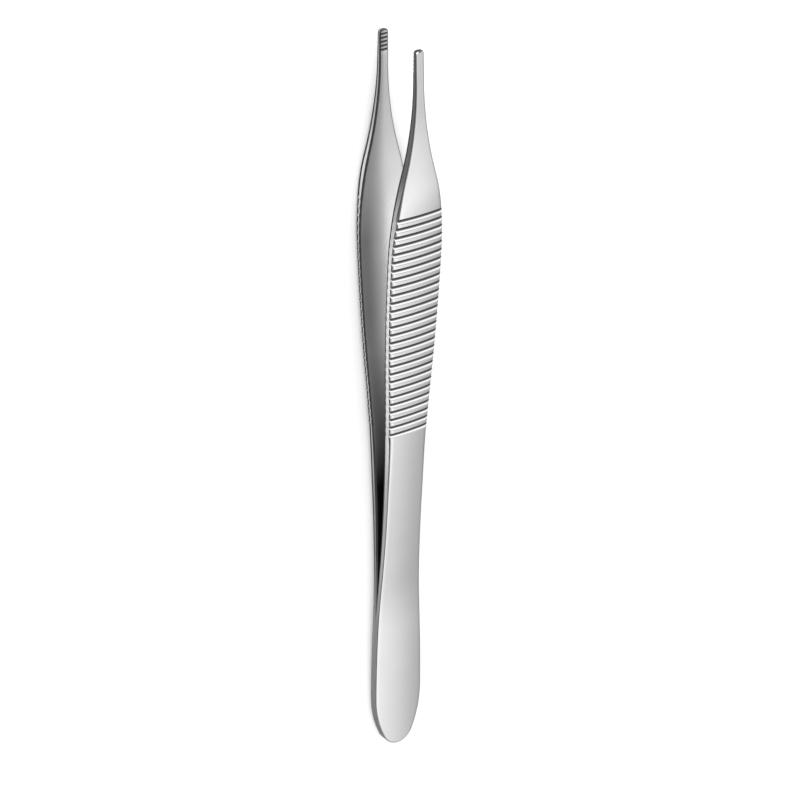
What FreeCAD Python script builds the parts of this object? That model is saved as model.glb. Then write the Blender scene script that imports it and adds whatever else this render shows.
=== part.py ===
"""Thumb forceps, about 12 cm long: two spring legs welded together at the tail.

Each leg is modelled with its flat inner face on the weld plane. In a leg's own frame X runs
across the leg, Y from the tail end to the tips and Z outwards, away from the weld plane.
The lower leg is the mirror image of the upper one. The pair lies on a table, touching it
with the tail end and the bend of the lower leg. Lengths are millimetres, angles degrees.
"""

import FreeCAD, Part
import math
import os
import Sketcher

SIZES = [
    ("overall_length", 120.0, "tail end to tips, along the leg"),
    ("weld_length", 24.0, "tail end to the crotch, over which the legs are welded"),
    ("tail_half_width", 4.25, "widest place of the tail, from the middle line"),
    ("tail_station", 9.5, "its distance from the tail end"),
    ("tail_nose_radius", 2.75, "round end of the tail, seen from above"),
    ("waist_half_width", 3.2, "narrowest place between tail and grip"),
    ("waist_station", 45.0, "its distance from the tail end"),
    ("grip_half_width", 4.4, "widest place of the thumb grip"),
    ("grip_back", 32.5, "its distance from the tip end"),
    ("tip_half_width", 0.7, "slim end of the leg"),
    ("tip_back", 4.8, "tip end to where the neck begins to widen"),
    ("tip_corner_radius", 0.45, "round corners of the tip, seen from above"),
    ("tail_thickness", 1.08, "one leg at the tail, on the middle line"),
    ("swell_start", 22.6, "where the outer face starts to rise, from the tail end"),
    ("swell_radius", 130.0, "side view, tail to grip"),
    ("grip_slope", 3.78, "rise of the grip's outer face over the weld plane"),
    ("bend_back", 25.1, "tip end to where the grip's straight outer face ends"),
    ("bend_radius", 45.0, "side view, grip to tip, outside"),
    ("tip_slope", 2.2, "fall of the tip's outer face towards the end"),
    ("spring_radius", 1000.0, "side view, crotch to the straight inner face"),
    ("spring_end", 65.0, "where the inner face has become straight, from the tail end"),
    ("jaw_slope", 3.92, "rise of the straight inner face over the weld plane"),
    ("jaw_bend_back", 39.0, "tip end to where the inner face turns towards the jaw"),
    ("jaw_bend_radius", 417.0, "side view, straight inner face to jaw face"),
    ("crown_radius", 30.0, "crown of the outer face across the leg"),
    ("edge_break", 0.2, "chamfer of the outer edges"),
    ("groove_count", 28, "milled cross grooves of the thumb grip"),
    ("groove_pitch", 1.352, "from one groove to the next"),
    ("groove_back", 25.2, "tip end to the middle of the groove nearest the tips"),
    ("groove_mouth", 0.86, "width of a groove at the crowned face"),
    ("groove_floor", 0.36, "width of a groove's floor"),
    ("groove_depth", 0.3, "under the crowned face"),
    ("groove_sweep", 40.0, "turn of the milling path about the crown's axis"),
    ("serration_count", 5, "cross serrations of the jaw"),
    ("serration_pitch", 0.6, "from one serration to the next"),
    ("serration_back", 0.65, "tip end to the middle of the first serration"),
    ("serration_width", 0.42, "at the jaw face"),
    ("serration_depth", 0.27, "of the V"),
    ("stock_margin", 2.0, "blank left round the leg before it is trimmed"),
]

START = 1
END = START + 1
CENTRE = END + 1
X_AXIS = -1
Y_AXIS = X_AXIS - 1
ORIGIN = (X_AXIS, START)
UP = FreeCAD.Vector(0, 0, 1)
QUARTER = 90
HALF_TURN = 2 * QUARTER
OUTER_LINES = ("tail", "swell", "grip", "bend", "tip")
OUTER_FACE_TILT = 0.5
WALL_TILT = 0.1
OFF_MIDDLE = 0.01


class Sizes:
    """The values of the sheet by name, and rules: an expression with its present value."""

    def __init__(self):
        self.value = {alias: value for alias, value, _ in SIZES}

    def __getitem__(self, alias):
        return self.value[alias]

    def rule(self, alias):
        return (f"Sizes.{alias}", self[alias])

    def station(self, place):
        """Where a named place of the leg lies, from the tail end."""
        if f"{place}_station" in self.value:
            return self.rule(f"{place}_station")
        back = f"{place}_back"
        return (f"Sizes.overall_length - Sizes.{back}", self["overall_length"] - self[back])


def make_sheet(doc):
    """The driving dimensions, one row each, with the alias that expressions use."""
    sheet = doc.addObject("Spreadsheet::Sheet", "Sizes")
    for row, (alias, value, meaning) in enumerate(SIZES, start=1):
        sheet.set(f"A{row}", alias)
        sheet.set(f"B{row}", str(value))
        sheet.set(f"C{row}", meaning)
        sheet.setAlias(f"B{row}", alias)
    doc.recompute()


def origin_plane(body, role):
    for feature in body.Origin.OriginFeatures:
        if feature.Role == role:
            return feature
    raise RuntimeError(f"{body.Label} has no {role}")


def new_sketch(body, name, role):
    sketch = body.newObject("Sketcher::SketchObject", name)
    sketch.AttachmentSupport = [(origin_plane(body, role), "")]
    sketch.MapMode = "FlatFace"
    return sketch


def vec(point):
    return FreeCAD.Vector(point[0], point[1], 0)


def polar(centre, radius, degrees):
    angle = math.radians(degrees)
    return (centre[0] + radius * math.cos(angle), centre[1] + radius * math.sin(angle))


class Profile:
    """A chain of lines and arcs in a sketch, each joined to the one before it."""

    def __init__(self, sketch):
        self.sketch = sketch
        self.first = None
        self.last = None

    def line(self, start, end, join=None):
        index = self.sketch.addGeometry(Part.LineSegment(vec(start), vec(end)), False)
        return self._joined(index, START, END, join)

    def arc(self, centre, radius, from_angle, to_angle, join=None):
        """From one angle to the other, in degrees: anticlockwise if the second is larger."""
        circle = Part.Circle(vec(centre), UP, radius)
        low, high = sorted((math.radians(from_angle), math.radians(to_angle)))
        index = self.sketch.addGeometry(Part.ArcOfCircle(circle, low, high), False)
        if to_angle > from_angle:
            return self._joined(index, START, END, join)
        return self._joined(index, END, START, join)

    def _joined(self, index, entry, leave, join):
        if join:
            self.fix(join, *self.last, index, entry)
        if self.first is None:
            self.first = (index, entry)
        self.last = (index, leave)
        return index

    def close(self):
        self.fix("Coincident", *self.last, *self.first)

    def fix(self, kind, *where):
        self.sketch.addConstraint(Sketcher.Constraint(kind, *where))

    def drive(self, kind, name, rule, *where):
        """A dimension that follows the sheet. A rule is (expression, its present value)."""
        expression, value = rule
        index = self.sketch.addConstraint(Sketcher.Constraint(kind, *where, value))
        self.sketch.renameConstraint(index, name)
        self.sketch.setExpression(f"Constraints.{name}", expression)

    def place(self, name, point, across=None, along=None):
        """Holds a point at two distances from the sketch's origin, each of them a rule."""
        if across:
            self.drive("DistanceX", f"{name}_across", across, *ORIGIN, *point)
        if along:
            self.drive("DistanceY", f"{name}_along", along, *ORIGIN, *point)

    def measure(self, kind, name, *where):
        """A dimension that follows the sketch, for the expressions of other features."""
        index = self.sketch.addConstraint(Sketcher.Constraint(kind, *where, 0.0))
        self.sketch.setDriving(index, False)
        self.sketch.renameConstraint(index, name)


def draw_s_bend(profile, size, start, end):
    """Two equal arcs between two places of the outline, where it runs along the leg."""
    w0, y0 = size[f"{start}_half_width"], size.station(start)[1]
    w1, y1 = size[f"{end}_half_width"], size.station(end)[1]
    side = 1 if w1 > w0 else -1
    radius = ((y1 - y0) ** 2 + (w1 - w0) ** 2) / (4 * abs(w1 - w0))
    turn = side * math.degrees(math.asin((y1 - y0) / (2 * radius)))
    leaving, arriving = (HALF_TURN, 0) if side > 0 else (0, HALF_TURN)
    first = profile.arc((w0 + side * radius, y0), radius, leaving, leaving - turn, "Tangent")
    second = profile.arc((w1 - side * radius, y1), radius, arriving - turn, arriving, "Tangent")
    profile.fix("Equal", first, second)
    profile.place(f"{end}_side", profile.last, size.rule(f"{end}_half_width"), size.station(end))
    profile.place(f"{end}_centre", (second, CENTRE), along=size.station(end))


def draw_outline(sketch, size):
    """What is cut away on one side of the leg: everything outside its outline."""
    nose, wide = size["tail_nose_radius"], size["tail_half_width"]
    station = size["tail_station"]
    length, corner = size["overall_length"], size["tip_corner_radius"]
    tip, margin = size["tip_half_width"], size["stock_margin"]
    flank = (wide**2 + (station - nose) ** 2 - nose**2) / (2 * (wide - nose))
    meeting = math.degrees(math.atan2(nose - station, flank - wide))
    beyond = size["grip_half_width"] + 2 * margin

    profile = Profile(sketch)
    nose_arc = profile.arc((0, nose), nose, -QUARTER, meeting)
    profile.fix("Coincident", nose_arc, START, *ORIGIN)
    profile.fix("PointOnObject", nose_arc, CENTRE, Y_AXIS)
    profile.drive("Radius", "nose", size.rule("tail_nose_radius"), nose_arc)
    flank_arc = profile.arc((wide - flank, station), flank, meeting, 0, "Tangent")
    half_width = size.rule("tail_half_width")
    profile.place("tail_side", profile.last, half_width, size.station("tail"))
    profile.place("tail_centre", (flank_arc, CENTRE), along=size.station("tail"))

    draw_s_bend(profile, size, "tail", "waist")
    draw_s_bend(profile, size, "waist", "grip")
    draw_s_bend(profile, size, "grip", "tip")

    profile.line((tip, size.station("tip")[1]), (tip, length - corner), "Tangent")
    corner_centre = (tip - corner, length - corner)
    corner_arc = profile.arc(corner_centre, corner, 0, QUARTER, "Tangent")
    profile.drive("Radius", "corner", size.rule("tip_corner_radius"), corner_arc)
    tip_line = profile.line((tip - corner, length), (0, length), "Tangent")
    profile.fix("Horizontal", tip_line)
    profile.fix("PointOnObject", *profile.last, Y_AXIS)
    profile.place("tip_end", profile.last, along=size.rule("overall_length"))

    corners = [(0, length), (0, length + margin), (beyond, length + margin)]
    corners += [(beyond, -margin), (0, -margin), (0, 0)]
    sides = [profile.line(a, b, "Coincident") for a, b in zip(corners, corners[1:])]
    profile.close()
    for side, kind in zip(sides, ("Vertical", "Horizontal", "Vertical", "Horizontal", "Vertical")):
        profile.fix(kind, side)
    out = ("Sizes.grip_half_width + 2 * Sizes.stock_margin", beyond)
    over = ("Sizes.overall_length + Sizes.stock_margin", length + margin)
    profile.place("far_corner", (sides[1], END), out, over)
    behind = size.rule("stock_margin")
    profile.drive("DistanceY", "near_corner", behind, sides[3], END, *ORIGIN)


def outer_line(size):
    """Side view of the outer face's middle line: the points and centres of its arcs."""
    slope, fall = size["grip_slope"], size["tip_slope"]
    swell, bend = size["swell_radius"], size["bend_radius"]
    swell_centre = (size["swell_start"], size["tail_thickness"] + swell)
    grip_start = polar(swell_centre, swell, slope - QUARTER)
    bend_start = size.station("bend")[1]
    grip_rise = (bend_start - grip_start[0]) * math.tan(math.radians(slope))
    grip_end = (bend_start, grip_start[1] + grip_rise)
    bend_centre = polar(grip_end, bend, slope - QUARTER)
    tip_start = polar(bend_centre, bend, QUARTER - fall)
    tip_end_station = size["overall_length"] + size["stock_margin"]
    tip_drop = (tip_end_station - tip_start[0]) * math.tan(math.radians(fall))
    return {
        "swell_centre": swell_centre,
        "grip_start": grip_start,
        "grip_end": grip_end,
        "bend_centre": bend_centre,
        "tip_start": tip_start,
        "tip_end": (tip_end_station, tip_start[1] - tip_drop),
    }


def inner_line(size):
    """Side view of the inner face: the points and centres of its arcs, from the crotch on."""
    weld, slope = size["weld_length"], size["jaw_slope"]
    spring, bend = size["spring_radius"], size["jaw_bend_radius"]
    reach = (size["spring_end"] - weld) / spring
    start_slope = math.degrees(math.asin(math.sin(math.radians(slope)) - reach))
    spring_centre = polar((weld, 0), spring, start_slope + QUARTER)
    spring_end = polar(spring_centre, spring, slope - QUARTER)
    station = size.station("jaw_bend")[1]
    rise = (station - size["spring_end"]) * math.tan(math.radians(slope))
    bend_start = (station, spring_end[1] + rise)
    bend_centre = polar(bend_start, bend, slope - QUARTER)
    return {
        "start_slope": start_slope,
        "spring_centre": spring_centre,
        "spring_end": spring_end,
        "bend_start": bend_start,
        "bend_centre": bend_centre,
        "jaw_start": polar(bend_centre, bend, QUARTER),
    }


def draw_side(sketch, size):
    """Side view of a leg, longer than it by the margin at both ends.

    Its first edges are the middle line of the outer face, one for each of the OUTER_LINES.
    """
    outer, inner = outer_line(size), inner_line(size)
    thick, margin = size["tail_thickness"], size["stock_margin"]
    slope, fall, jaw_slope = size["grip_slope"], size["tip_slope"], size["jaw_slope"]
    swell_start = (size["swell_start"], thick)
    crotch = (size["weld_length"], 0)

    profile = Profile(sketch)
    tail = profile.line((-margin, thick), swell_start)
    profile.fix("Horizontal", tail)
    profile.drive("DistanceX", "tail_margin", size.rule("stock_margin"), tail, START, *ORIGIN)
    rules = (size.rule("swell_start"), size.rule("tail_thickness"))
    profile.place("swell_start", (tail, END), *rules)
    turn = (-QUARTER, slope - QUARTER)
    swell = profile.arc(outer["swell_centre"], size["swell_radius"], *turn, "Tangent")
    profile.drive("Radius", "swell_radius", size.rule("swell_radius"), swell)

    grip = profile.line(outer["grip_start"], outer["grip_end"], "Tangent")
    rise = ("Sizes.grip_slope * 1 deg", math.radians(slope))
    profile.drive("Angle", "grip_slope", rise, grip)
    profile.place("grip_end", (grip, END), size.station("bend"))
    turn = (slope + QUARTER, QUARTER - fall)
    bend = profile.arc(outer["bend_centre"], size["bend_radius"], *turn, "Tangent")
    profile.drive("Radius", "bend_radius", size.rule("bend_radius"), bend)

    tip = profile.line(outer["tip_start"], outer["tip_end"], "Tangent")
    drop = ("Sizes.tip_slope * -1 deg", -math.radians(fall))
    profile.drive("Angle", "tip_slope", drop, tip)
    over = ("Sizes.overall_length + Sizes.stock_margin", outer["tip_end"][0])
    profile.place("tip_margin", (tip, END), over)

    jaw_end = (outer["tip_end"][0], inner["jaw_start"][1])
    end = profile.line(outer["tip_end"], jaw_end, "Coincident")
    profile.fix("Vertical", end)
    jaw = profile.line(jaw_end, inner["jaw_start"], "Coincident")
    profile.fix("Horizontal", jaw)
    turn = (QUARTER, jaw_slope + QUARTER)
    jaw_bend = profile.arc(inner["bend_centre"], size["jaw_bend_radius"], *turn, "Tangent")
    profile.drive("Radius", "jaw_bend_radius", size.rule("jaw_bend_radius"), jaw_bend)

    straight = profile.line(inner["bend_start"], inner["spring_end"], "Tangent")
    back = ("(Sizes.jaw_slope - 180) * 1 deg", math.radians(jaw_slope - HALF_TURN))
    profile.drive("Angle", "jaw_slope", back, straight)
    profile.place("jaw_bend_start", (straight, START), size.station("jaw_bend"))
    profile.place("spring_end", (straight, END), size.rule("spring_end"))
    turn = (jaw_slope - QUARTER, inner["start_slope"] - QUARTER)
    spring = profile.arc(inner["spring_centre"], size["spring_radius"], *turn, "Tangent")
    profile.drive("Radius", "spring_radius", size.rule("spring_radius"), spring)

    weld = profile.line(crotch, (-margin, 0), "Coincident")
    profile.place("crotch", (weld, START), size.rule("weld_length"))
    profile.fix("PointOnObject", weld, START, X_AXIS)
    profile.fix("Horizontal", weld)
    tail_end = profile.line((-margin, 0), (-margin, thick), "Coincident")
    profile.fix("Vertical", tail_end)
    profile.close()
    profile.measure("DistanceY", "grip_end_height", *ORIGIN, grip, END)
    profile.measure("DistanceY", "jaw_height", *ORIGIN, jaw, END)


def draw_crown(sketch, size):
    """Cross-section of what is cut off above the crowned outer face."""
    radius, thick, margin = size["crown_radius"], size["tail_thickness"], size["stock_margin"]
    half, top = size["grip_half_width"] + 2 * margin, thick + margin
    centre = (0, thick - radius)
    side = math.degrees(math.acos(half / radius))
    right, left = polar(centre, radius, side), polar(centre, radius, HALF_TURN - side)

    profile = Profile(sketch)
    crown = profile.arc(centre, radius, side, HALF_TURN - side)
    profile.fix("PointOnObject", crown, CENTRE, Y_AXIS)
    depth = ("Sizes.crown_radius - Sizes.tail_thickness", radius - thick)
    profile.drive("DistanceY", "centre_depth", depth, crown, CENTRE, *ORIGIN)
    profile.drive("Radius", "crown", size.rule("crown_radius"), crown)
    profile.fix("Horizontal", crown, START, crown, END)
    width = ("Sizes.grip_half_width + 2 * Sizes.stock_margin", half)
    profile.place("right", (crown, START), width)

    corners = [left, (-half, top), (half, top), right]
    sides = [profile.line(a, b, "Coincident") for a, b in zip(corners, corners[1:])]
    profile.close()
    for side_line, kind in zip(sides, ("Vertical", "Horizontal", "Vertical")):
        profile.fix(kind, side_line)
    above = ("Sizes.tail_thickness + Sizes.stock_margin", top)
    profile.place("top", (sides[1], END), along=above)


def draw_groove(sketch, size):
    """The cutter's section. The sketch's X axis is the axis of the crown, along the grip."""
    half_mouth, half_floor = size["groove_mouth"] / 2, size["groove_floor"] / 2
    crown = size["crown_radius"]
    floor, top = crown - size["groove_depth"], crown + size["stock_margin"]
    corners = [(-half_floor, floor), (half_floor, floor), (half_mouth, crown)]
    corners += [(half_mouth, top), (-half_mouth, top), (-half_mouth, crown), corners[0]]
    profile = Profile(sketch)
    bottom = profile.line(corners[0], corners[1])
    sides = [profile.line(a, b, "Coincident") for a, b in zip(corners[1:], corners[2:])]
    right_flank, right, lid, left, left_flank = sides
    profile.close()
    for side, kind in ((right, "Vertical"), (left, "Vertical"), (lid, "Horizontal")):
        profile.fix(kind, side)
    profile.fix("Symmetric", bottom, START, bottom, END, Y_AXIS)
    profile.fix("Symmetric", right_flank, END, left_flank, START, Y_AXIS)
    ends = (bottom, START, bottom, END)
    profile.drive("DistanceX", "floor", size.rule("groove_floor"), *ends)
    ends = (lid, END, lid, START)
    profile.drive("DistanceX", "mouth", size.rule("groove_mouth"), *ends)
    profile.place("crown", (right_flank, END), along=size.rule("crown_radius"))
    above = ("Sizes.crown_radius + Sizes.stock_margin", top)
    profile.place("top", (right, END), along=above)
    below = ("Sizes.crown_radius - Sizes.groove_depth", floor)
    profile.place("depth", (bottom, START), along=below)


def draw_serration(sketch, size):
    """The V of one serration, with its origin on the jaw face."""
    half, depth = size["serration_width"] / 2, size["serration_depth"]
    low = -size["stock_margin"]
    corners = [(-half, low), (half, low), (half, 0), (0, depth), (-half, 0), (-half, low)]
    profile = Profile(sketch)
    bottom = profile.line(corners[0], corners[1])
    sides = [profile.line(a, b, "Coincident") for a, b in zip(corners[1:], corners[2:])]
    right, right_flank, left_flank, left = sides
    profile.close()
    for side, kind in ((bottom, "Horizontal"), (right, "Vertical"), (left, "Vertical")):
        profile.fix(kind, side)
    profile.fix("PointOnObject", right, END, X_AXIS)
    profile.fix("PointOnObject", left, START, X_AXIS)
    profile.fix("PointOnObject", right_flank, END, Y_AXIS)
    profile.fix("Equal", right_flank, left_flank)
    ends = (bottom, START, bottom, END)
    profile.drive("DistanceX", "width", size.rule("serration_width"), *ends)
    profile.place("bottom", (left_flank, START), along=size.rule("serration_depth"))
    profile.drive("DistanceY", "below", size.rule("stock_margin"), bottom, START, *ORIGIN)


def finish_step(doc, body, feature, grows=False):
    """Makes a feature the body's last one, and sees that it has added or taken metal away."""
    body.Tip = feature
    doc.recompute()
    before = feature.BaseFeature.Shape.Volume if feature.BaseFeature else 0.0
    if feature.Shape.isNull() or (feature.Shape.Volume > before) != grows:
        raise RuntimeError(f"{feature.Label} has failed")
    return feature


def cut_both_ways(body, name, sketch):
    pocket = body.newObject("PartDesign::Pocket", name)
    pocket.Profile = sketch
    pocket.Type = "ThroughAll"
    pocket.SideType = "Symmetric"
    return pocket


def repeat_cut(body, name, original, sketch, kind):
    """Copies of a cut, from the tips towards the tail. Kind is groove or serration."""
    pattern = body.newObject("PartDesign::LinearPattern", name)
    pattern.Originals = [original]
    pattern.Direction = (sketch, ["H_Axis"])
    pattern.Reversed = True
    pattern.Mode = "Spacing"
    pattern.setExpression("Offset", f"Sizes.{kind}_pitch")
    pattern.setExpression("Occurrences", f"Sizes.{kind}_count")
    return pattern


def face_tilt(face):
    """Height part of a face's normal at its middle: 1 looks outwards, 0 is a side wall."""
    u0, u1, v0, v1 = face.ParameterRange
    return face.normalAt((u0 + u1) / 2, (v0 + v1) / 2).z


def rim_edges(shape):
    """Edges where half a leg's outer faces meet its side and end walls.

    The cut along the middle of the leg is no wall.
    """
    outer = [face for face in shape.Faces if face_tilt(face) > OUTER_FACE_TILT]
    walls = [face for face in shape.Faces if abs(face_tilt(face)) < WALL_TILT]
    walls = [face for face in walls if face.CenterOfMass.x > OFF_MIDDLE]

    def borders(edge, group):
        return any(edge.isSame(other) for face in group for other in face.Edges)

    numbered = enumerate(shape.Edges, start=1)
    return [f"Edge{n}" for n, edge in numbered if borders(edge, outer) and borders(edge, walls)]


def make_upper_leg(doc, size):
    body = doc.addObject("PartDesign::Body", "UpperLeg")
    body.Label = "upper_leg"

    side_sketch = new_sketch(body, "SideSketch", "YZ_Plane")
    draw_side(side_sketch, size)
    blank = body.newObject("PartDesign::Pad", "HalfBlank")
    blank.Profile = side_sketch
    blank.setExpression("Length", "Sizes.grip_half_width + Sizes.stock_margin")
    finish_step(doc, body, blank, grows=True)

    crown_sketch = new_sketch(body, "CrownSketch", "XZ_Plane")
    crown_sketch.setExpression("AttachmentOffset.Base.z", "Sizes.stock_margin")
    draw_crown(crown_sketch, size)
    crown = body.newObject("PartDesign::SubtractivePipe", "CrownedFace")
    crown.Profile = crown_sketch
    crown.Spine = (side_sketch, [f"Edge{n}" for n, _ in enumerate(OUTER_LINES, start=1)])
    finish_step(doc, body, crown)

    outline_sketch = new_sketch(body, "OutlineSketch", "XY_Plane")
    draw_outline(outline_sketch, size)
    outline = finish_step(doc, body, cut_both_ways(body, "Outline", outline_sketch))

    chamfer = body.newObject("PartDesign::Chamfer", "OuterEdges")
    chamfer.Base = (outline, rim_edges(outline.Shape))
    chamfer.setExpression("Size", "Sizes.edge_break")
    finish_step(doc, body, chamfer)
    whole = body.newObject("PartDesign::Mirrored", "BothHalves")
    whole.TransformMode = "Whole shape"
    whole.MirrorPlane = (origin_plane(body, "YZ_Plane"), [""])
    finish_step(doc, body, whole, grows=True)

    groove_sketch = new_sketch(body, "GrooveSketch", "YZ_Plane")
    slope = "Sizes.grip_slope * 1 deg"
    across = f"Sizes.overall_length - Sizes.groove_back + Sizes.crown_radius * sin({slope})"
    before_bend = "Sizes.groove_back - Sizes.bend_back"
    drop = f"({before_bend}) * tan({slope}) + Sizes.crown_radius * cos({slope})"
    height = f"SideSketch.Constraints.grip_end_height - ({drop}) * 1 mm"
    tilt = FreeCAD.Rotation(UP, size["grip_slope"])
    groove_sketch.AttachmentOffset = FreeCAD.Placement(FreeCAD.Vector(), tilt)
    groove_sketch.setExpression("AttachmentOffset.Base.x", across)
    groove_sketch.setExpression("AttachmentOffset.Base.y", height)
    groove_sketch.setExpression("AttachmentOffset.Rotation.Angle", slope)
    draw_groove(groove_sketch, size)
    groove = body.newObject("PartDesign::Groove", "GripGroove")
    groove.Profile = groove_sketch
    groove.ReferenceAxis = (groove_sketch, ["H_Axis"])
    groove.Midplane = True
    groove.setExpression("Angle", "Sizes.groove_sweep")
    finish_step(doc, body, groove)
    finish_step(doc, body, repeat_cut(body, "Grip", groove, groove_sketch, "groove"))

    serration_sketch = new_sketch(body, "SerrationSketch", "YZ_Plane")
    across = "Sizes.overall_length - Sizes.serration_back"
    serration_sketch.setExpression("AttachmentOffset.Base.x", across)
    height = "SideSketch.Constraints.jaw_height"
    serration_sketch.setExpression("AttachmentOffset.Base.y", height)
    draw_serration(serration_sketch, size)
    serration = finish_step(doc, body, cut_both_ways(body, "JawSerration", serration_sketch))
    finish_step(doc, body, repeat_cut(body, "Jaw", serration, serration_sketch, "serration"))
    return body


def make_lower_leg(doc, upper_leg):
    """The mirror image of the upper leg in the weld plane, wherever that leg lies."""
    leg = doc.addObject("Part::Mirroring", "LowerLeg")
    leg.Label = "lower_leg"
    leg.Source = upper_leg
    leg.setExpression("Base", "UpperLeg.Placement.Base")
    leg.setExpression("Normal", "UpperLeg.Placement.Rotation * vector(0; 0; 1)")
    return leg


def rest_tilt(size):
    """Tilt of the weld plane when the tail end and the bend of a leg lie on the table."""
    bend_centre = outer_line(size)["bend_centre"]
    run = bend_centre[0] - size["edge_break"]
    rise = bend_centre[1] - size["tail_thickness"]
    lean = math.atan2(rise, run) + math.asin(size["bend_radius"] / math.hypot(run, rise))
    return math.degrees(lean)


def lay_down(doc, upper_leg, lower_leg, size):
    """Lays the pair on the table, with the origin under the middle of its box."""
    turn = FreeCAD.Rotation(FreeCAD.Vector(1, 0, 0), rest_tilt(size))
    upper_leg.Placement = FreeCAD.Placement(FreeCAD.Vector(), turn)
    doc.recompute()
    box = upper_leg.Shape.optimalBoundingBox(False)
    box.add(lower_leg.Shape.optimalBoundingBox(False))
    shift = FreeCAD.Vector(0, -(box.YMin + box.YMax) / 2, -box.ZMin)
    upper_leg.Placement = FreeCAD.Placement(shift, turn)
    doc.recompute()


def check(doc, legs):
    for item in doc.Objects:
        if {"Invalid", "Error"} & set(item.State):
            raise RuntimeError(f"{item.Label} failed: {item.State}")
    for leg in legs:
        if leg.Shape.isNull() or not leg.Shape.isValid() or len(leg.Shape.Solids) != 1:
            raise RuntimeError(f"{leg.Label} is not one valid solid")


def main():
    size = Sizes()
    doc = FreeCAD.newDocument("ThumbForceps")
    make_sheet(doc)
    upper_leg = make_upper_leg(doc, size)
    lower_leg = make_lower_leg(doc, upper_leg)
    lay_down(doc, upper_leg, lower_leg, size)
    check(doc, (upper_leg, lower_leg))
    os.makedirs("parts", exist_ok=True)
    for leg in (upper_leg, lower_leg):
        leg.Shape.exportStep(f"parts/{leg.Label}.step")


main()
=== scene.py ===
"""Thumb forceps in satin steel: two spring legs welded at the tail, on a plain pale table."""

import math

import bpy
from mathutils import Matrix, Vector


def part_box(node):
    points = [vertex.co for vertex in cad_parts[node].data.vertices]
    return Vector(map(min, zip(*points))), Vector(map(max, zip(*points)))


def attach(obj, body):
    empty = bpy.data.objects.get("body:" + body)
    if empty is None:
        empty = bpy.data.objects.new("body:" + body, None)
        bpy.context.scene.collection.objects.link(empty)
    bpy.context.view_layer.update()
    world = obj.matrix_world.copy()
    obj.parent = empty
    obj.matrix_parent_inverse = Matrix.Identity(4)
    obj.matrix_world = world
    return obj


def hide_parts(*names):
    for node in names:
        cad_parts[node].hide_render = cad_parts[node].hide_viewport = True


bl_info = {
    "name": "Thumb forceps",
    "version": (1, 0, 0),
    "blender": (4, 5, 0),
    "location": "3D View > Sidebar > Forceps",
    "description": "Two spring legs in satin steel with milled grips and serrated jaws",
    "category": "Object",
}

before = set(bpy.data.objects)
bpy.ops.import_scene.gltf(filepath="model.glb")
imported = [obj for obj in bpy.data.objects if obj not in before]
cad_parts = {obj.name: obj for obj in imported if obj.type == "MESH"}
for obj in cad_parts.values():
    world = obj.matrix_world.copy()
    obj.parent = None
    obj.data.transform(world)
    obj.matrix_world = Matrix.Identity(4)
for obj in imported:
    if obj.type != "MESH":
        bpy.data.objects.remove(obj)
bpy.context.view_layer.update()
BODY = "root"
STEEL_LOOK = "polished_steel_painted_shade"
POLISH_SHADE_ATTRIBUTE = "finish"
UPPER_LEG, LOWER_LEG = "upper_leg", "lower_leg"
MM = 0.001


def length(name, description, millimetres):
    return bpy.props.FloatProperty(
        name=name,
        description=description,
        default=millimetres * MM,
        min=0.0,
        precision=5,
        subtype="DISTANCE",
        unit="LENGTH",
    )


def angle(name, description, degrees):
    return bpy.props.FloatProperty(
        name=name,
        description=description,
        default=math.radians(degrees),
        subtype="ANGLE",
        unit="ROTATION",
    )


def factor(name, description, value):
    return bpy.props.FloatProperty(
        name=name,
        description=description,
        default=value,
        min=0.0,
        max=1.0,
        precision=4,
        subtype="FACTOR",
    )


def amount(name, description, value):
    return bpy.props.IntProperty(name=name, description=description, default=value, min=1)


def colour(name, description, value):
    return bpy.props.FloatVectorProperty(
        name=name,
        description=description,
        default=value,
        size=3,
        min=0.0,
        max=1.0,
        subtype="COLOR",
    )


class ForcepsLegSizes(bpy.types.PropertyGroup):
    """Sizes of one leg. Both legs have them."""

    overall: length("Length", "Tail end to tips, along the leg", 120)
    weld: length("Weld", "Tail end to the crotch, where the legs part", 24)
    nose: length("Tail nose", "Radius of the round tail end, seen from above", 2.75)
    tail: length("Tail half width", "Widest place of the tail", 4.25)
    tail_at: length("Tail station", "Tail end to the tail's widest place", 9.5)
    waist: length("Waist half width", "Narrowest place between tail and grip", 3.2)
    waist_at: length("Waist station", "Tail end to the waist", 45)
    grip: length("Grip half width", "Widest place of the thumb grip", 4.4)
    grip_at: length("Grip station", "Tail end to the grip's widest place", 87.5)
    tip: length("Tip half width", "Slim end of the leg", 0.7)
    tip_at: length("Tip station", "Tail end to where the slim end starts", 115.2)
    corner: length("Tip corner", "Radius of the tip's corners, seen from above", 0.45)
    thickness: length("Tail thickness", "One leg at the tail, on the middle line", 1.08)
    swell_at: length("Swell start", "Tail end to where the outer face starts to rise", 22.6)
    swell: length("Swell radius", "Side view, tail to grip", 130)
    rise: angle("Grip slope", "Rise of the grip's outer face", 3.78)
    bend_at: length("Bend start", "Tail end to the end of the straight grip", 94.9)
    bend: length("Bend radius", "Side view, grip to tip", 45)
    fall: angle("Tip slope", "Fall of the tip's outer face", 2.2)
    spring: length("Spring radius", "Side view, crotch to the straight inner face", 1000)
    spring_to: length("Spring end", "Tail end to the straight inner face", 65)
    jaw_rise: angle("Jaw slope", "Rise of the straight inner face", 3.92)
    jaw_bend_at: length("Jaw bend start", "Tail end to where the inner face turns", 81)
    jaw_bend: length("Jaw bend radius", "Side view, inner face to jaw face", 417)
    crown: length("Crown radius", "Crown of the outer face across the leg", 30)
    outer_edge: length("Outer edge", "Rounding of the outer edges", 0.28)
    inner_edge: length("Inner edge", "Rounding of the inner edges", 0.2)
    tilt: angle("Rest tilt", "The weld plane over the table, as the part lies", 2.7212)


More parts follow.
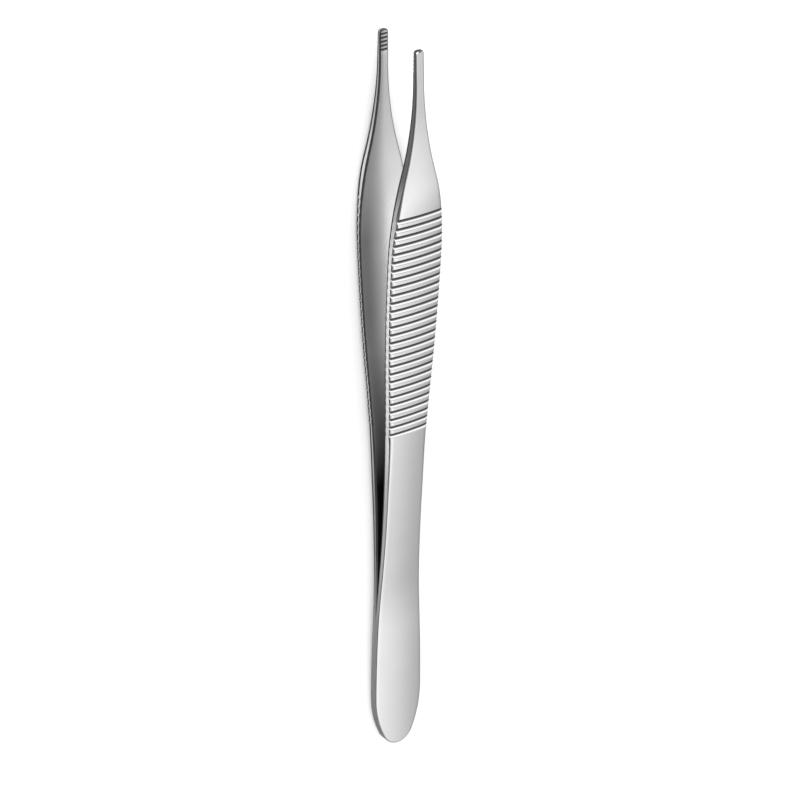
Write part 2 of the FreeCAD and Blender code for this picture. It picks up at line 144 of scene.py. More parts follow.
class ForcepsCutSizes(bpy.types.PropertyGroup):
    """Sizes of the grip's grooves and the jaw's serrations."""

    grooves: amount("Grooves", "Milled cross grooves of a grip", 28)
    groove_pitch: length("Groove pitch", "One groove to the next", 1.352)
    last_groove_at: length("Last groove", "Tail end to the groove nearest the tips", 94.8)
    cutter: length("Cutter radius", "Round bottom of a groove", 0.46)
    groove_depth: length("Groove depth", "Under the crowned face", 0.3)
    lip: length("Groove lip", "Small chamfer at the mouth of a groove", 0.03)
    serrations: amount("Serrations", "Cross serrations of a jaw", 5)
    serration_pitch: length("Serration pitch", "One serration to the next", 0.6)
    serration_back: length("First serration", "Its middle from the tip end", 0.65)
    serration_width: length("Serration width", "At the jaw face", 0.42)
    serration_depth: length("Serration depth", "Of the V", 0.27)


class ForcepsSteelLook(bpy.types.PropertyGroup):
    """Colours and finish of the steel, and the near black that paints shade where the polish is low.
    """

    bright: colour("Steel", "Ground and polished stainless steel", (0.74, 0.74, 0.745))
    # Painted shade: low polish blends the steel towards this near black for dark lines, edges,
    # corners and faces
    dark: colour("Unpolished steel", "At the bottom of a cut", (0.01, 0.01, 0.01))
    glance: colour("Low reflection", "Tint of what is mirrored at a low angle", (0.45, 0.45, 0.45))
    polish: factor("Roughness", "Roughness of the polished faces", 0.08)
    satin: factor("Satin", "How much rougher the duller places are", 0.03)
    rough: factor("Unpolished", "How much rougher the unpolished faces are", 0.5)
    inner: factor("Inner satin", "How much rougher the inner faces are", 0.1)
    brushing: factor("Brushing", "Depth of the fine grinding marks", 0.05)


class ForcepsStageLook(bpy.types.PropertyGroup):
    """The table and where the camera stands."""

    table_colour: colour("Table", "The pale table under the part", (0.78, 0.78, 0.78))
    camera_turn: angle("Camera turn", "About the leg's own length", 34.0932)
    camera_rise: angle("Camera rise", "Towards the tips", 30.3392)
    camera_roll: angle("Camera roll", "About the line of sight", 0.4423)
    camera_distance: length("Camera distance", "From the middle of the legs", 449.85)
    target: bpy.props.FloatVectorProperty(
        name="Target",
        description="The middle of the weld plane, which the camera faces",
        default=(0.0, -0.09 * MM, 3.9166 * MM),
        size=3,
        subtype="XYZ",
        unit="LENGTH",
    )
    lens: bpy.props.FloatProperty(
        name="Lens", description="Focal length in millimetres", default=136.125, unit="CAMERA"
    )
    sensor: bpy.props.FloatProperty(
        name="Sensor", description="Sensor width in millimetres", default=36.0, unit="CAMERA"
    )
    shift: bpy.props.FloatVectorProperty(
        name="Shift",
        description="The photograph's framing, as a share of its width",
        default=(0.00277, 0.01578),
        size=2,
        precision=5,
    )


# How finely a leg is divided: across a face, down an edge, over a groove and round the ends
ACROSS = 16
OUTER_BAND = 6
INNER_BAND = 3
GROOVE_STEPS = 8
NOSE_STEPS = 14
CORNER_STEPS = 6
NOSE_CAP_TURN = math.radians(26)
TAIL_STEP = 0.9 * MM
WAIST_STEP = 1.3 * MM
NECK_STEP = 0.7 * MM
SHARP_FROM = math.radians(32)

# The deepest that a rounded edge still meets a groove, as a share of the groove's depth
DEEPEST_SHARE = 0.985

# The outer edge is rounder along the grip: pairs of place from the tail end in mm and share
EDGE_SWELL = [(48, 1.0), (57, 2.2), (93, 2.2), (99, 1.0)]

# The inner edge starts at a share of its size in the crotch, and is full after so many radii
LEAST_EDGE = 0.04
EDGE_GROWTH = 12

# How far past the crotch the edges become as dark as elsewhere with their painted shade, in mm
CROTCH_RUN = 12

# The painted dark line, painted shade, along the edges of a side wall, and the narrow step where its
# polish and shade end, in mm
SHADE_LINE = 0.26
SHADE_LINE_SHARE = 0.25
GUARD = 0.02

# Polish and painted shade, from 0 for the roughest steel, painted nearly black, to 1 for polished
# steel in its own colour. Pairs give a place from the tail end in mm and the value.
OUTER_POLISH_AND_SHADE = [(96, 0.86), (112, 0.6)]
# The side walls are painted darker at the tail and the neck: painted reflection of darker
# surroundings
UPPER_WALL_POLISH_AND_SHADE = [
    (0, 0.28), (24, 0.3), (33, 0.5), (45, 0.5), (62, 0.9), (86, 0.95), (95, 0.5), (101, 0.16),
]
LOWER_WALL_POLISH_AND_SHADE = [(0, 0.28), (45, 0.4), (62, 0.8), (86, 0.7), (99, 0.95), (110, 0.5)]
# The inner faces are painted nearly black just past the crotch: painted shade between the legs
INNER_POLISH_AND_SHADE = [
    (0, 0.3), (24, 0.0), (48, 0.0), (60, 0.6), (70, 0.95), (86, 0.95), (96, 0.8), (110, 0.6),
]
# A painted dark line along the upper leg's outer corner, darkest at the neck
CORNER_POLISH_AND_SHADE = [(50, 0.4), (57, 0.95), (92, 0.95), (96, 0.08)]
CORNER_FROM = 4
# Painted shade: dark rounded edges and lines along the walls, and darker tip and tail ends
EDGE_POLISH_AND_SHADE = 0.06
TIP_POLISH_AND_SHADE = 0.15
NOSE_POLISH_AND_SHADE = 0.28

# The inner face is painted darker and made rougher towards one side, painted shade and a painted dark
# reflection of the other leg: pairs of half width and share, and how much by place
INNER_SHADE_ACROSS = [(-1, 0.38), (-0.7, 0.4), (-0.05, 0.95), (0.2, 1.0)]
INNER_SHADE_BY_PLACE = [(56, 0.4), (76, 1.0), (88, 1.0), (97, 0.45)]

# Polish and painted shade across a groove from lip to lip, with a painted dark line over its tip-side
# half, and across a serration from edge to edge, painted dark at its bottom and tip-side face
GROOVE_POLISH_AND_SHADE = [(-1, 0.3), (-0.75, 0.9), (-0.5, 0.95), (-0.25, 0.17), (0, 0.1), (1, 0.09)]
SERRATION_POLISH_AND_SHADE = [(-1, 0.7), (0, 0.04), (1, 0.15)]

# Grinding marks along the leg and faint cloudy patches, per metre
MARKS_PER_METRE = (9000, 260, 9000)
MARK_DETAIL = 3.0
MARK_DEPTH = 0.002 * MM
CLOUDS_PER_METRE = 220.0
CLOUD_DETAIL = 4.0
CLOUD_RANGE = (0.35, 0.7)

# Sockets of a Mix node that are used when it mixes colours
MIX_FIRST, MIX_SECOND, MIX_RESULT = 6, 7, 2

# Soft light: darker low down and at one side, brighter overhead, with a lamp box at the tips' side
SKY_AXIS = (-0.2, 0.35, 0.915)
SKY_SCALE, SKY_LIFT = 0.75, 0.25
SKY_STOPS = [
    (0.05, 0.04), (0.1, 0.08), (0.14, 0.16), (0.37, 0.28),
    (0.51, 0.47), (0.62, 0.62), (0.74, 0.56), (0.77, 0.64),
]
SKY_STRENGTH = 2.5
SIDE_SCALE, SIDE_LIFT = 0.5, 0.5
SIDE_STOPS = [(0.14, 0.12), (0.34, 1.0)]
SOFTBOX_AXIS = (-0.62, 0.45, 0.64)
SOFTBOX_STOPS = [(0.85, 0.0), (0.95, 1.0)]
SOFTBOX_STRENGTH = 5.0

TABLE_HALF = 2.0
TABLE_ROUGHNESS = 0.9
NEAREST, FARTHEST = 0.01, 10


class Outline:
    """Half of the leg's outline from above: half width and slope at a station."""

    def __init__(self, leg):
        self.leg = leg
        ahead = leg.tail_at - leg.nose
        spread = leg.tail - leg.nose
        self.flank = (leg.tail**2 + ahead**2 - leg.nose**2) / (2 * spread)
        self.nose_turn = math.atan2(self.flank - leg.tail, ahead)
        self.knots = [
            (leg.tail_at, leg.tail),
            (leg.waist_at, leg.waist),
            (leg.grip_at, leg.grip),
            (leg.tip_at, leg.tip),
        ]

    def at(self, station):
        leg = self.leg
        if station <= self.knots[0][0]:
            along = station - leg.tail_at
            across = math.sqrt(self.flank**2 - along**2)
            return leg.tail - self.flank + across, -along / across
        for (l0, w0), (l1, w1) in zip(self.knots, self.knots[1:]):
            if station <= l1:
                return self._s_bend(station, l0, w0, l1, w1)
        return leg.tip, 0.0

    def _s_bend(self, station, l0, w0, l1, w1):
        """Two equal arcs from one half width to the next."""
        half_run, half_rise = (l1 - l0) / 2, (w1 - w0) / 2
        radius = (half_run**2 + half_rise**2) / (2 * abs(half_rise))
        side = math.copysign(1, half_rise)
        if station <= (l0 + l1) / 2:
            along, base, sign = station - l0, w0, side
        else:
            along, base, sign = station - l1, w1, -side
        across = math.sqrt(radius**2 - along**2)
        return base + sign * (radius - across), sign * along / across


class Profile:
    """The leg from the side: heights of its outer and its inner face over the weld plane."""

    def __init__(self, leg):
        self.leg = leg
        self.grip_from = leg.swell_at + leg.swell * math.sin(leg.rise)
        self.grip_base = leg.thickness + leg.swell * (1 - math.cos(leg.rise))
        self.bend_base = self.grip_base + (leg.bend_at - self.grip_from) * math.tan(leg.rise)
        self.tip_from = leg.bend_at + leg.bend * (math.sin(leg.rise) + math.sin(leg.fall))
        self.tip_base = self.bend_base + leg.bend * (math.cos(leg.fall) - math.cos(leg.rise))
        bent = (leg.spring_to - leg.weld) / leg.spring
        self.spring_turn = math.asin(math.sin(leg.jaw_rise) - bent)
        self.spring_base = leg.spring * (math.cos(self.spring_turn) - math.cos(leg.jaw_rise))
        run = leg.jaw_bend_at - leg.spring_to
        self.jaw_bend_base = self.spring_base + run * math.tan(leg.jaw_rise)
        self.jaw_from = leg.jaw_bend_at + leg.jaw_bend * math.sin(leg.jaw_rise)
        self.jaw_height = self.jaw_bend_base + leg.jaw_bend * (1 - math.cos(leg.jaw_rise))

    def outer(self, station):
        leg = self.leg
        if station <= leg.swell_at:
            return leg.thickness
        if station <= self.grip_from:
            along = station - leg.swell_at
            return leg.thickness + leg.swell - math.sqrt(leg.swell**2 - along**2)
        if station <= leg.bend_at:
            return self.grip_base + (station - self.grip_from) * math.tan(leg.rise)
        if station <= self.tip_from:
            along = station - leg.bend_at - leg.bend * math.sin(leg.rise)
            drop = leg.bend * math.cos(leg.rise)
            return self.bend_base - drop + math.sqrt(leg.bend**2 - along**2)
        return self.tip_base - (station - self.tip_from) * math.tan(leg.fall)

    def crowned(self, across, station):
        crown = self.leg.crown
        return self.outer(station) - crown + math.sqrt(crown**2 - across**2)

    def inner(self, station):
        leg = self.leg
        if station <= leg.weld:
            return 0.0
        if station <= leg.spring_to:
            along = station - leg.weld + leg.spring * math.sin(self.spring_turn)
            return leg.spring * math.cos(self.spring_turn) - math.sqrt(leg.spring**2 - along**2)
        if station <= leg.jaw_bend_at:
            return self.spring_base + (station - leg.spring_to) * math.tan(leg.jaw_rise)
        if station <= self.jaw_from:
            left = self.jaw_from - station
            return self.jaw_height - leg.jaw_bend + math.sqrt(leg.jaw_bend**2 - left**2)
        return self.jaw_height


class Row:
    """One cross line of the leg. Depth is inside the outline, drop is down a rounded edge."""

    def __init__(self, station, outline):
        self.station = station
        self.outline = outline

    def outer_place(self, depth, drop=0.0):
        width, slope = self.outline.at(self.station)
        size = math.hypot(1, slope)
        return width - depth / size, self.station + depth * slope / size

    def inner_place(self, depth, drop=0.0):
        return self.outer_place(depth)

    def outer_cut(self, drop):
        """How far the line lies under the crowned face."""
        return drop

    def inner_cut(self, drop):
        """How far the line lies inside the inner face."""
        return drop

    def outer_polish_and_shade(self):
        """Polish and painted shade of the outer face at the line."""
        return between(self.outer_place(0)[1] / MM, OUTER_POLISH_AND_SHADE)

    def inner_polish(self):
        """Polish and painted shade of the inner face at the line."""
        return between(self.inner_place(0)[1] / MM, INNER_POLISH_AND_SHADE)


class RoundRow(Row):
    """A cross line that ends on the round tail nose or on a corner of the tip."""

    def __init__(self, centre, radius, turn):
        self.centre, self.radius, self.turn = centre, radius, turn

    def outer_place(self, depth, drop=0.0):
        reach = self.radius - depth
        across = self.centre[0] + reach * math.sin(self.turn)
        return across, self.centre[1] - reach * math.cos(self.turn)


class GrooveRow(Row):
    """A line along a round-bottomed groove. Place is -1 at one lip and 1 at the other."""

    def __init__(self, station, outline, place, cuts, rise):
        super().__init__(station, outline)
        self.place, self.cuts, self.rise = place, cuts, rise
        self.lift = cuts.cutter - cuts.groove_depth

    def turn_at(self, under):
        """The cutter's turn from its lowest line to where it is this far under the face."""
        under = min(under, DEEPEST_SHARE * self.cuts.groove_depth)
        return math.acos((self.lift + under) / self.cuts.cutter)

    def outer_place(self, depth, drop=0.0):
        turn = self.turn_at(drop + self.cuts.lip) * self.place
        lean = self.outer_cut(drop) * math.sin(self.rise)
        station = self.station + self.cuts.cutter * math.sin(turn) + lean
        return self.outline.at(station)[0] - depth, station

    def outer_cut(self, drop):
        turn = self.turn_at(drop + self.cuts.lip) * self.place
        return self.cuts.cutter * math.cos(turn) - self.lift

    # A painted dark line over the groove's tip-side half: painted shade
    def outer_polish_and_shade(self):
        return between(self.place, GROOVE_POLISH_AND_SHADE)


class LandEndRow(GrooveRow):
    """The end of the land beside a groove, outside the groove's small chamfered lip."""

    def outer_place(self, depth, drop=0.0):
        half = self.cuts.cutter * math.sin(self.turn_at(drop)) + self.cuts.lip
        station = self.station + self.place * half
        return self.outline.at(station)[0] - depth, station

    def outer_cut(self, drop):
        return drop

    def outer_polish_and_shade(self):
        return Row.outer_polish_and_shade(self)


class SerrationRow(Row):
    """A line of a V across the jaw. Place is -1 and 1 at its edges and 0 at its bottom."""

    def __init__(self, middle, outline, place, cuts):
        super().__init__(middle + place * cuts.serration_width / 2, outline)
        self.middle, self.place, self.cuts = middle, place, cuts

    def inner_place(self, depth, drop=0.0):
        half = (1 - drop / self.cuts.serration_depth) * self.cuts.serration_width / 2
        station = self.middle + self.place * half
        return self.outline.at(station)[0] - depth, station

    def inner_cut(self, drop):
        return self.cuts.serration_depth if self.place == 0 else drop

    # Painted shade at the bottom of the serration's V and on its tip-side face
    def inner_polish(self):
        return between(self.place, SERRATION_POLISH_AND_SHADE)


def evenly(start, end, count):
    """The start, the end and the places that divide the way between them."""
    return [start + (end - start) * k / count for k in range(count + 1)]


def between(place, knots):
    """The value at a place on the straight lines between the knots."""
    for (p0, v0), (p1, v1) in zip(knots, knots[1:]):
        if place <= p1:
            return v0 + (v1 - v0) * (max(place, p0) - p0) / (p1 - p0)
    return knots[-1][1]


def plain_rows(outline, start, end, step):
    """Straight lines across the leg, about a step apart."""
    count = max(1, round((end - start) / step))
    return [Row(station, outline) for station in evenly(start, end, count)]


def groove_rows(leg, cuts, outline):
    """The lines of all grooves, from the tail side to the tips."""
    rows = []
    along = math.cos(leg.rise) * cuts.groove_pitch
    for index in reversed(range(cuts.grooves)):
        station = cuts.last_groove_at - index * along
        rows.append(LandEndRow(station, outline, -1, cuts, leg.rise))
        for place in evenly(-1, 1, GROOVE_STEPS):
            rows.append(GrooveRow(station, outline, place, cuts, leg.rise))
        rows.append(LandEndRow(station, outline, 1, cuts, leg.rise))
    return rows


def serration_rows(leg, cuts, outline):
    """The lines of all serrations, from the tail side to the tips."""
    rows = []
    for index in reversed(range(cuts.serrations)):
        station = leg.overall - cuts.serration_back - index * cuts.serration_pitch
        rows += [SerrationRow(station, outline, place, cuts) for place in (-1, 0, 1)]
    return rows


def leg_rows(leg, cuts, outline):
    """All cross lines of the leg, from its tail to its tip."""
    nose = (0, leg.nose)
    turns = evenly(NOSE_CAP_TURN, outline.nose_turn, NOSE_STEPS)
    rows = [RoundRow(nose, leg.nose, turn) for turn in turns]
    grooves = groove_rows(leg, cuts, outline)
    serrations = serration_rows(leg, cuts, outline)
    grip = grooves[0].outer_place(0)[1], grooves[-1].outer_place(0)[1]
    rows += plain_rows(outline, rows[-1].outer_place(0)[1], leg.weld, TAIL_STEP)[1:]
    rows += plain_rows(outline, leg.weld, grip[0], WAIST_STEP)[1:-1]
    rows += grooves
    rows += plain_rows(outline, grip[1], serrations[0].station, NECK_STEP)[1:-1]
    rows += serrations
    corner = (leg.tip - leg.corner, leg.overall - leg.corner)
    turns = evenly(math.pi / 2, math.pi, CORNER_STEPS)[1:]
    return rows + [RoundRow(corner, leg.corner, turn) for turn in turns]


def band(radius, steps):
    """Depth inside the outline and drop of each line of a rounded edge, from the face out."""
    turns = evenly(0, math.pi / 2, steps)
    return [(radius * (1 - math.sin(turn)), radius * (1 - math.cos(turn))) for turn in turns]


class LegForm:
    """Points and faces of one leg: a ring of points at each row, and a cap at each end."""

    def __init__(self, leg, cuts, is_upper):
        self.leg, self.cuts, self.is_upper = leg, cuts, is_upper
        self.outline, self.profile = Outline(leg), Profile(leg)
        self.points, self.finish, self.faces = [], [], []
        rows = leg_rows(leg, cuts, self.outline)
        self.side = len(self.side_points(rows[0]))
        rings = [self.ring(row, max(0, 1 - k / NOSE_STEPS)) for k, row in enumerate(rows)]
        for near, far in zip(rings, rings[1:]):
            self.join(near, far)
        self.cap(rings[0], self.nose_chains(rows[0]), False)
        self.cap(rings[-1], self.tip_chains(rows[-1]), True)

    def point(self, place, finish):
        """Adds a point with its polish, painted shade and satin, and returns its number."""
        self.points.append(place)
        self.finish += finish
        return len(self.points) - 1

    def side_points(self, row):
        """Points down the side of the leg at a row, from the outer face's rim to the inner's."""
        leg, profile = self.leg, self.profile
        outer, inner = [], []
        radius = leg.outer_edge * between(row.outer_place(0)[1] / MM, EDGE_SWELL)
        for depth, drop in band(radius, OUTER_BAND):
            across, station = row.outer_place(depth, drop)
            height = profile.crowned(across, station) - row.outer_cut(drop)
            outer.append(Vector((across, station, height)))
        opened = (row.inner_place(0)[1] - leg.weld) / (EDGE_GROWTH * leg.inner_edge)
        radius = leg.inner_edge * min(1, max(LEAST_EDGE, opened))
        for depth, drop in band(radius, INNER_BAND):
            across, station = row.inner_place(depth, drop)
            height = profile.inner(station) + row.inner_cut(drop)
            inner.insert(0, Vector((across, station, height)))
        height = (outer[-1] - inner[0]).length
        guard, line = GUARD * MM / height, min(SHADE_LINE_SHARE, SHADE_LINE * MM / height)
        near = [guard, line, line + guard]
        shares = [*near, *[1 - share for share in reversed(near)]]
        return [*outer, *[outer[-1].lerp(inner[0], share) for share in shares], *inner]

    def face_points(self, row, rim, is_outer, roundness):
        """Points across a face between its two rims. Roundness bends the row as the nose is."""
        centre = self.leg.nose
        reach = math.hypot(rim.x, centre - rim.y)
        points = []
        for share in evenly(-1, 1, ACROSS)[1:-1]:
            across, station = share * rim.x, rim.y
            if roundness:
                bow = math.sqrt(reach**2 - across**2) - math.sqrt(reach**2 - rim.x**2)
                station -= roundness * bow
            if is_outer:
                height = self.profile.crowned(across, station) - row.outer_cut(0)
            else:
                height = self.profile.inner(station) + row.inner_cut(0)
            points.append(Vector((across, station, height)))
        return points

    def ring(self, row, roundness):
        """All points round the leg at a row, with their polish, painted shade and satin."""
        right = self.side_points(row)
        left = [Vector((-p.x, p.y, p.z)) for p in right]
        top = self.face_points(row, right[0], True, roundness)
        bottom = self.face_points(row, right[-1], False, roundness)
        loop = [left[0], *top, *right, *reversed(bottom), *reversed(left[1:])]
        side = self.side_polish_and_shade(row)
        outer = [side[0]] * (1 + len(top))
        inner = [self.inner_finish(row, side[-1], share) for share in evenly(1, -1, ACROSS)]
        finish = [*outer, *side[:-1], *inner, *reversed(side[1:-1])]
        return [self.point(*pair) for pair in zip(loop, finish)]

    def side_polish_and_shade(self, row):
        """Polish, painted shade and satin of the points down the side of the leg at a row."""
        station = row.outer_place(0)[1] / MM
        outer, inner = row.outer_polish_and_shade(), row.inner_polish()
        wall = between(station, UPPER_WALL_POLISH_AND_SHADE if self.is_upper else LOWER_WALL_POLISH_AND_SHADE)
        welded = min(1, max(0, 1 - (station - self.leg.weld / MM) / CROTCH_RUN))
        edge = EDGE_POLISH_AND_SHADE + (wall - EDGE_POLISH_AND_SHADE) * welded
        # The upper leg's outer corner takes its painted dark line; the lower leg's outer edge and the
        # top line of its wall are painted dark, painted shade where it lies on the table
        if self.is_upper:
            corner = min(wall, between(station, CORNER_POLISH_AND_SHADE))
            rim = [outer] * CORNER_FROM + [corner] * (OUTER_BAND + 1 - CORNER_FROM)
            line = [wall] * 2
        else:
            rim, line = [outer] + [edge] * OUTER_BAND, [edge] * 2
        # Each wall keeps its own polish between painted dark lines on its side towards the other leg
        # and over the inner edge, painted shade between the legs
        polish = [*rim, *line, wall, wall, edge, edge, *[edge] * INNER_BAND, inner]
        satin = [0.0] * (len(polish) - INNER_BAND - 1) + [1.0] * (INNER_BAND + 1)
        return list(zip(polish, satin))

    def inner_finish(self, row, rim, share):
        """Polish and painted shade of the inner face at a share of its half width."""
        shade_share = between(row.outer_place(0)[1] / MM, INNER_SHADE_BY_PLACE)
        return rim[0] * (1 - shade_share * (1 - between(share, INNER_SHADE_ACROSS))), rim[1]

    def join(self, near, far):
        """Faces between two neighbouring rings."""
        for k, (a, b) in enumerate(zip(near, far)):
            m = (k + 1) % len(near)
            self.faces.append((a, near[m], far[m], b))

    def nose_chains(self, row):
        """Points down the round tail end, for each place across it."""
        turns = evenly(-row.turn, row.turn, ACROSS)[1:-1]
        return [self.side_points(RoundRow(row.centre, row.radius, turn)) for turn in turns]

    def tip_chains(self, row):
        """Points down the straight tip end, for each place across it."""
        corner = self.side_points(row)
        shares = evenly(-1, 1, ACROSS)[1:-1]
        return [[Vector((share * p.x, p.y, p.z)) for p in corner] for share in shares]

    def cap(self, ring, chains, at_tip):
        """Closes an end of the leg between the faces and sides of its last ring."""
        bottom = ring[ACROSS + self.side - 1 : 2 * ACROSS + self.side][::-1]
        right = ring[ACROSS : ACROSS + self.side]
        left = [ring[0], *ring[2 * ACROSS + self.side - 1 :][::-1]]
        columns = [left]
        for k, chain in enumerate(chains, start=1):
            # The tip and tail ends are painted darker: painted shade on the end faces
            polish = TIP_POLISH_AND_SHADE if at_tip else NOSE_POLISH_AND_SHADE
            inside = [self.point(place, (polish, 0.0)) for place in chain[1:-1]]
            columns.append([ring[k], *inside, bottom[k]])
        columns.append(right)
        for a, b in zip(columns, columns[1:]):
            for k in range(self.side - 1):
                quad = (a[k], a[k + 1], b[k + 1], b[k])
                self.faces.append(quad[::-1] if at_tip else quad)


def leg_piece(name, node, facing):
    """One leg as a mesh. Facing is 1 for the upper leg and -1 for the lower one."""
    scene = bpy.context.scene
    leg = scene.forceps_leg
    form = LegForm(leg, scene.forceps_cuts, facing > 0)
    lay = Matrix.Rotation(leg.tilt, 3, "X")
    points = [lay @ Vector((p.x, p.y, facing * p.z)) for p in form.points]
    shift = seat(points, node)
    faces = form.faces if facing > 0 else [face[::-1] for face in form.faces]
    mesh = bpy.data.meshes.new(name)
    mesh.from_pydata([p + shift for p in points], [], faces)
    mesh.polygons.foreach_set("use_smooth", [True] * len(mesh.polygons))
    mesh.set_sharp_from_angle(angle=SHARP_FROM)
    mesh.attributes.new(POLISH_SHADE_ATTRIBUTE, "FLOAT2", "POINT").data.foreach_set("vector", form.finish)
    mesh.validate()
    mesh.materials.append(steel_with_painted_shade())
    piece = bpy.data.objects.new(name, mesh)
    scene.collection.objects.link(piece)
    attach(piece, BODY)
    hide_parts(node)
    return piece


def seat(points, node):
    """How far the leg moves to lie where its CAD node lies."""
    low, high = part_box(node)
    own_y = [p.y for p in points]
    own_z = [p.z for p in points]
    middle = (low.y + high.y - min(own_y) - max(own_y)) / 2
    return Vector((0, middle, (low.z + high.z - min(own_z) - max(own_z)) / 2))


class Wire:
    """A socket that can be used in sums. Numbers alone are worked out in Python."""

    def __init__(self, shop, socket):
        self.shop, self.socket = shop, socket

    def _maths(self, operation, *terms):
        return self.shop.node("ShaderNodeMath", {"operation": operation}, *terms)

    def __add__(self, other):
        return self._maths("ADD", self, other)

    def __mul__(self, other):
        return self._maths("MULTIPLY", self, other)

    def __sub__(self, other):
        return self._maths("SUBTRACT", self, other)

    def __rsub__(self, other):
        return self._maths("SUBTRACT", other, self)

    __radd__ = __add__
    __rmul__ = __mul__


class Shop:
    """Makes the nodes of one material or world."""

    def __init__(self, tree):
        self.tree = tree
        tree.nodes.clear()

    def node(self, kind, settings=None, *values, output=0, at=(), **named):
        """A node with its settings, then the values or wires of its sockets.

        They are given in order, by number in at, or by name.
        """
        made = self.tree.nodes.new(kind)
        for key, value in (settings or {}).items():
            if key == "stops":
                self._ramp(made.color_ramp, value)
            else:
                setattr(made, key, value)
        for key, value in [*enumerate(values), *at, *named.items()]:
            socket = made.inputs[key if isinstance(key, int) else key.replace("_", " ")]
            if isinstance(value, Wire):
                self.tree.links.new(value.socket, socket)
            else:
                socket.default_value = value
        return Wire(self, made.outputs[output]) if made.outputs else made

    def _ramp(self, ramp, stops):
        """Sets a ramp's stops, each a place and a grey."""
        while len(ramp.elements) < len(stops):
            ramp.elements.new(1)
        for element, (place, shade) in zip(ramp.elements, stops):
            element.position = place
            element.color = (shade, shade, shade, 1)

    def blend(self, share, first, second):
        """A colour between two colours."""
        colours = ((MIX_FIRST, (*first, 1)), (MIX_SECOND, (*second, 1)))
        settings = {"data_type": "RGBA"}
        return self.node("ShaderNodeMix", settings, share, output=MIX_RESULT, at=colours)


def steel_with_painted_shade():
    """Ground and polished stainless steel, with fine marks along the leg, painted darker as shade
    where the polish is low.
    """
    known = bpy.data.materials.get(STEEL_LOOK)
    if known:
        return known
    look = bpy.context.scene.forceps_steel
    steel = bpy.data.materials.new(STEEL_LOOK)
    steel.use_nodes = True
    shop = Shop(steel.node_tree)
    place = shop.node("ShaderNodeTexCoord", output="Object")
    along = shop.node("ShaderNodeMapping", None, place, Scale=MARKS_PER_METRE)
    marks = shop.node("ShaderNodeTexNoise", None, along, Scale=1.0, Detail=MARK_DETAIL)
    clouds = shop.node(
        "ShaderNodeTexNoise", None, place, Scale=CLOUDS_PER_METRE, Detail=CLOUD_DETAIL
    )
    dull = shop.node("ShaderNodeMapRange", None, clouds, *CLOUD_RANGE, 0.0, 1.0)
    finish = shop.node("ShaderNodeAttribute", {"attribute_name": POLISH_SHADE_ATTRIBUTE}, output="Vector")
    polish = shop.node("ShaderNodeSeparateXYZ", None, finish)
    satin = shop.node("ShaderNodeSeparateXYZ", None, finish, output="Y")
    rough = (1 - polish) * look.rough + dull * look.satin + satin * look.inner
    roughness = rough + look.polish + (marks - 0.5) * look.brushing
    # Low polish blends the steel's colour towards near black: painted shade and painted dark
    # reflections; the clouds add faint random tone
    tint = shop.blend(polish * (1 - dull * look.satin), look.dark, look.bright)
    bumps = shop.node(
        "ShaderNodeBump", None, Strength=look.brushing, Distance=MARK_DEPTH, Height=marks
    )
    surface = shop.node(
        "ShaderNodeBsdfPrincipled",
        None,
        Base_Color=tint,
        Metallic=1.0,
        Specular_Tint=(*look.glance, 1),
        Roughness=roughness,
        Normal=bumps,
    )
    shop.node("ShaderNodeOutputMaterial", None, surface)
    return steel


class FORCEPS_OT_upper_leg(bpy.types.Operator):
    """Make the spring leg that shows its grooved grip"""

    bl_idname = "forceps.upper_leg"
    bl_label = "Upper leg"

    def execute(self, context):
        leg_piece("upper_spring_leg", UPPER_LEG, 1)
        return {"FINISHED"}


class FORCEPS_OT_lower_leg(bpy.types.Operator):
    """Make the spring leg that lies on the table"""

    bl_idname = "forceps.lower_leg"
    bl_label = "Lower leg"

    def execute(self, context):
        leg_piece("lower_spring_leg", LOWER_LEG, -1)
        return {"FINISHED"}


class FORCEPS_OT_stage(bpy.types.Operator):
    """Make the pale table, the soft light and the camera"""

    bl_idname = "forceps.stage"
    bl_label = "Table, light and camera"

    def execute(self, context):
        make_table()
        make_light()
        make_camera()
        return {"FINISHED"}


def make_table():
    half = TABLE_HALF
    mesh = bpy.data.meshes.new("table")
    corners = [(-half, -half, 0), (half, -half, 0), (half, half, 0), (-half, half, 0)]
    mesh.from_pydata(corners, [], [(0, 1, 2, 3)])
    paper = bpy.data.materials.new("pale_table")
    paper.use_nodes = True
    shop = Shop(paper.node_tree)
    shade = bpy.context.scene.forceps_stage.table_colour
    surface = shop.node(
        "ShaderNodeBsdfPrincipled", None, Base_Color=(*shade, 1), Roughness=TABLE_ROUGHNESS
    )
    shop.node("ShaderNodeOutputMaterial", None, surface)
    mesh.materials.append(paper)
    table = bpy.data.objects.new("table", mesh)
    bpy.context.scene.collection.objects.link(table)


def make_light():
    """A world that is brightest overhead, with one side dark and a bright lamp box."""
    scene = bpy.context.scene
    scene.view_settings.view_transform = "Standard"
    world = bpy.data.worlds.new("studio")
    world.use_nodes = True
    scene.world = world
    shop = Shop(world.node_tree)
    direction = shop.node("ShaderNodeTexCoord", output="Generated")
    dot = {"operation": "DOT_PRODUCT"}
    height = shop.node("ShaderNodeVectorMath", dot, direction, SKY_AXIS, output="Value")
    height = height * SKY_SCALE + SKY_LIFT
    sky = shop.node("ShaderNodeValToRGB", {"stops": SKY_STOPS}, height)
    across = shop.node("ShaderNodeSeparateXYZ", None, direction) * SIDE_SCALE + SIDE_LIFT
    side = shop.node("ShaderNodeValToRGB", {"stops": SIDE_STOPS}, across)
    near = shop.node("ShaderNodeVectorMath", dot, direction, SOFTBOX_AXIS, output="Value")
    softbox = shop.node("ShaderNodeValToRGB", {"stops": SOFTBOX_STOPS}, near)
    whole = sky * side * SKY_STRENGTH + softbox * SOFTBOX_STRENGTH
    light = shop.node("ShaderNodeBackground", None, whole)
    shop.node("ShaderNodeOutputWorld", None, light)


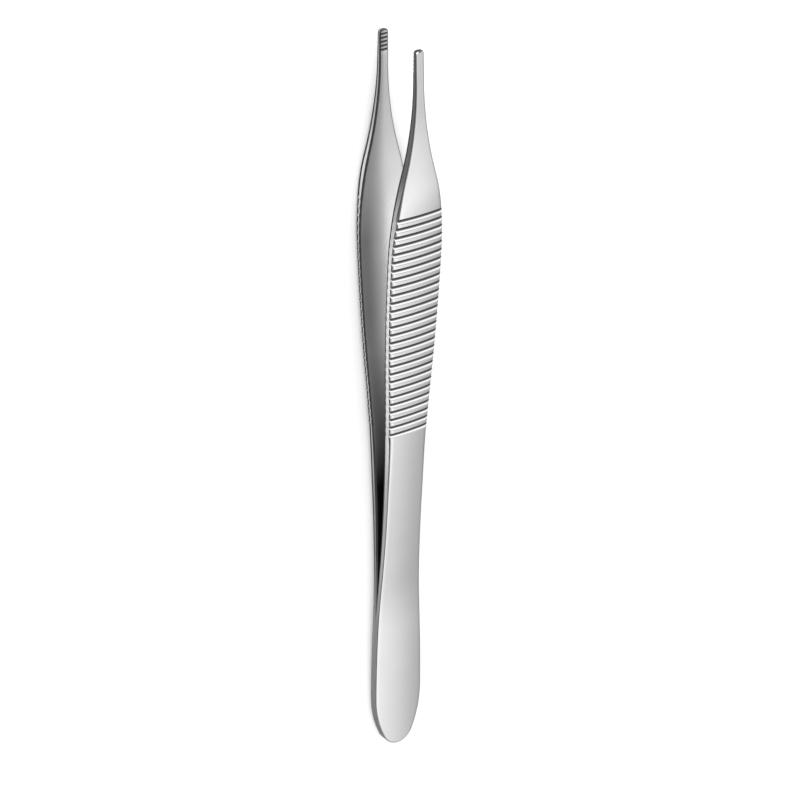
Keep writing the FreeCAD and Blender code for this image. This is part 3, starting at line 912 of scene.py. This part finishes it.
def make_camera():
    """The photograph's view: turned about the legs' length, then tipped towards the tips."""
    scene = bpy.context.scene
    look, leg = scene.forceps_stage, scene.forceps_leg
    turn, rise, roll = look.camera_turn, look.camera_rise, look.camera_roll
    right = Vector((math.cos(turn), 0, math.sin(turn)))
    flat = math.cos(rise)
    back = Vector((-math.sin(turn) * flat, math.sin(rise), math.cos(turn) * flat))
    up = back.cross(right)
    axes = Matrix((right, up, back)).transposed() @ Matrix.Rotation(roll, 3, "Z")
    lay = Matrix.Rotation(leg.tilt, 3, "X")
    target = Vector(look.target)
    camera = bpy.data.cameras.new("camera")
    camera.lens, camera.sensor_width = look.lens, look.sensor
    camera.shift_x, camera.shift_y = look.shift
    camera.clip_start, camera.clip_end = NEAREST, FARTHEST
    eye = bpy.data.objects.new("camera", camera)
    stand = Matrix.Translation(target + lay @ back * look.camera_distance)
    eye.matrix_world = stand @ (lay @ axes).to_4x4()
    scene.collection.objects.link(eye)
    scene.camera = eye


class FORCEPS_PT_panel(bpy.types.Panel):
    bl_idname = "FORCEPS_PT_panel"
    bl_label = "Forceps"
    bl_space_type = "VIEW_3D"
    bl_region_type = "UI"
    bl_category = "Forceps"

    def draw(self, context):
        for operator in (FORCEPS_OT_upper_leg, FORCEPS_OT_lower_leg, FORCEPS_OT_stage):
            self.layout.operator(operator.bl_idname)
        for name in GROUPS:
            group = getattr(context.scene, name)
            box = self.layout.box()
            for field in group.bl_rna.properties:
                if field.identifier not in ("rna_type", "name"):
                    box.prop(group, field.identifier)


GROUPS = {
    "forceps_leg": ForcepsLegSizes,
    "forceps_cuts": ForcepsCutSizes,
    "forceps_steel": ForcepsSteelLook,
    "forceps_stage": ForcepsStageLook,
}
OPERATORS = (FORCEPS_OT_upper_leg, FORCEPS_OT_lower_leg, FORCEPS_OT_stage)


def register():
    for kind in (*GROUPS.values(), *OPERATORS, FORCEPS_PT_panel):
        bpy.utils.register_class(kind)
    for name, kind in GROUPS.items():
        setattr(bpy.types.Scene, name, bpy.props.PointerProperty(type=kind))


def unregister():
    for name in GROUPS:
        delattr(bpy.types.Scene, name)
    for kind in reversed((*GROUPS.values(), *OPERATORS, FORCEPS_PT_panel)):
        bpy.utils.unregister_class(kind)


def main():
    register()
    bpy.ops.forceps.upper_leg()
    bpy.ops.forceps.lower_leg()
    bpy.ops.forceps.stage()


if __name__ == "__main__":
    main()
